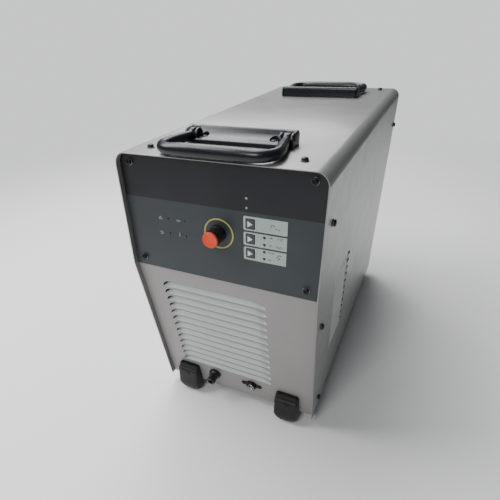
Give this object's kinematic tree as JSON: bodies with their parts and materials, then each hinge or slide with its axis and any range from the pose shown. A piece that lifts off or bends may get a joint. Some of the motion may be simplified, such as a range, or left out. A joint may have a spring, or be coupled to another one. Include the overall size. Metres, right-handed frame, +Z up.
{
  "type": "plasma cutter unit",
  "caption": "Inverter plasma cutting power source in a grey sheet metal case with louvres, a dark control fascia, fold-up carrying handles and rubber feet.",
  "frame": {"origin": "centre of the bounding box's footprint, on the floor under the feet", "axes": "+Z up; the control fascia faces -Y; +X is to the right of a person facing the fascia"},
  "size_m": [0.31, 0.6906, 0.5085],
  "materials": {
    "case_paint": "satin light grey powder coat",
    "panel_paint": "satin mid grey powder coat",
    "zinc": "zinc plated",
    "fascia": "printed front film on a plate, satin",
    "handle_plastic": "satin to gloss moulded nylon",
    "rubber": "matte moulded rubber",
    "black_plastic": "satin moulded plastic",
    "orange_plastic": "satin orange cap",
    "key_plastic": "matte key under film",
    "toggle_plastic": "satin moulded plastic",
    "lens": "dark unlit lens",
    "circuit_board": "coated board with parts",
    "chrome": "polished nickel",
    "guard_wire": "bright wire",
    "brass": "machined",
    "ferrite": "sintered ferrite",
    "copper_winding": "enamelled wire",
    "aluminium": "extruded",
    "black_screw": "black pan head screw"
  },
  "bodies": {
    "case": {"top_side_cover": "case_paint", "front_panel": "panel_paint", "rear_panel": "panel_paint", "base_tray": "zinc", "inner_frame": "zinc", "potentiometer": "zinc", "control_fascia": "fascia", "front_handle_base": "handle_plastic", "rear_handle_base": "handle_plastic", "foot_front_left": "rubber", "foot_front_right": "rubber", "foot_rear_left": "rubber", "foot_rear_right": "rubber", "torch_outlet": "black_plastic", "mains_gland": "black_plastic", "mains_breaker": "black_plastic", "fan_frame": "black_plastic", "socket_insert": "black_plastic", "lamp_block_left": "lens", "lamp_block_right": "lens", "control_board": "circuit_board", "power_board": "circuit_board", "socket_shell": "chrome", "fan_guard": "guard_wire", "air_inlet": "brass", "solenoid_valve": "brass", "transformer_core": "ferrite", "transformer_winding": "copper_winding", "output_choke": "copper_winding", "heatsink": "aluminium", "fascia_screw_upper_left": "black_screw", "fascia_screw_upper_right": "black_screw", "fascia_screw_lower_left": "black_screw", "fascia_screw_lower_right": "black_screw", "front_handle_screw_left": "black_screw", "front_handle_screw_right": "black_screw", "rear_handle_screw_left": "black_screw", "rear_handle_screw_right": "black_screw", "cover_screw_roof_front_left": "black_screw", "cover_screw_roof_front_right": "black_screw", "cover_screw_roof_rear_left": "black_screw", "cover_screw_roof_rear_right": "black_screw", "cover_screw_right_upper_front": "black_screw", "cover_screw_right_middle_front": "black_screw", "cover_screw_right_lower_front": "black_screw", "cover_screw_right_rear": "black_screw", "cover_screw_left_upper_front": "black_screw", "cover_screw_left_middle_front": "black_screw", "cover_screw_left_lower_front": "black_screw", "cover_screw_left_rear": "black_screw"},
    "front_bail": {"front_handle_bail": "handle_plastic"},
    "rear_bail": {"rear_handle_bail": "handle_plastic"},
    "current_knob": {"knob_body": "black_plastic", "knob_cap": "orange_plastic", "potentiometer_shaft": "zinc"},
    "push_key_1": {"key_1": "key_plastic"},
    "push_key_2": {"key_2": "key_plastic"},
    "push_key_3": {"key_3": "key_plastic"},
    "fan_blades": {"fan_rotor": "black_plastic"},
    "mains_toggle": {"breaker_toggle": "toggle_plastic"}
  },
  "joints": [
    {"name": "swing_front_handle", "type": "hinge", "parent": "case", "child": "front_bail", "pos_m": [0, -0.24225, 0.4986], "axis": [-1, 0, 0], "range_deg": [0, 90]},
    {"name": "swing_rear_handle", "type": "hinge", "parent": "case", "child": "rear_bail", "pos_m": [0, 0.19075, 0.4986], "axis": [1, 0, 0], "range_deg": [0, 90]},
    {"name": "turn_current_knob", "type": "hinge", "parent": "case", "child": "current_knob", "pos_m": [0.0015, -0.32025, 0.388], "axis": [0, -1, 0], "range_deg": [-150, 150]},
    {"name": "press_key_1", "type": "slide", "parent": "case", "child": "push_key_1", "axis": [0, 1, 0], "range_m": [0, 0.0008], "stiffness_N_per_m": 1500, "springref_m": -0.0003},
    {"name": "press_key_2", "type": "slide", "parent": "case", "child": "push_key_2", "axis": [0, 1, 0], "range_m": [0, 0.0008], "stiffness_N_per_m": 1500, "springref_m": -0.0003},
    {"name": "press_key_3", "type": "slide", "parent": "case", "child": "push_key_3", "axis": [0, 1, 0], "range_m": [0, 0.0008], "stiffness_N_per_m": 1500, "springref_m": -0.0003},
    {"name": "spin_fan", "type": "hinge", "parent": "case", "child": "fan_blades", "pos_m": [0, 0.28675, 0.236], "axis": [0, 1, 0], "continuous": true},
    {"name": "flip_mains_toggle", "type": "hinge", "parent": "case", "child": "mains_toggle", "pos_m": [-0.083, 0.31455, 0.412], "axis": [1, 0, 0], "range_deg": [0, 42]}
  ]
}
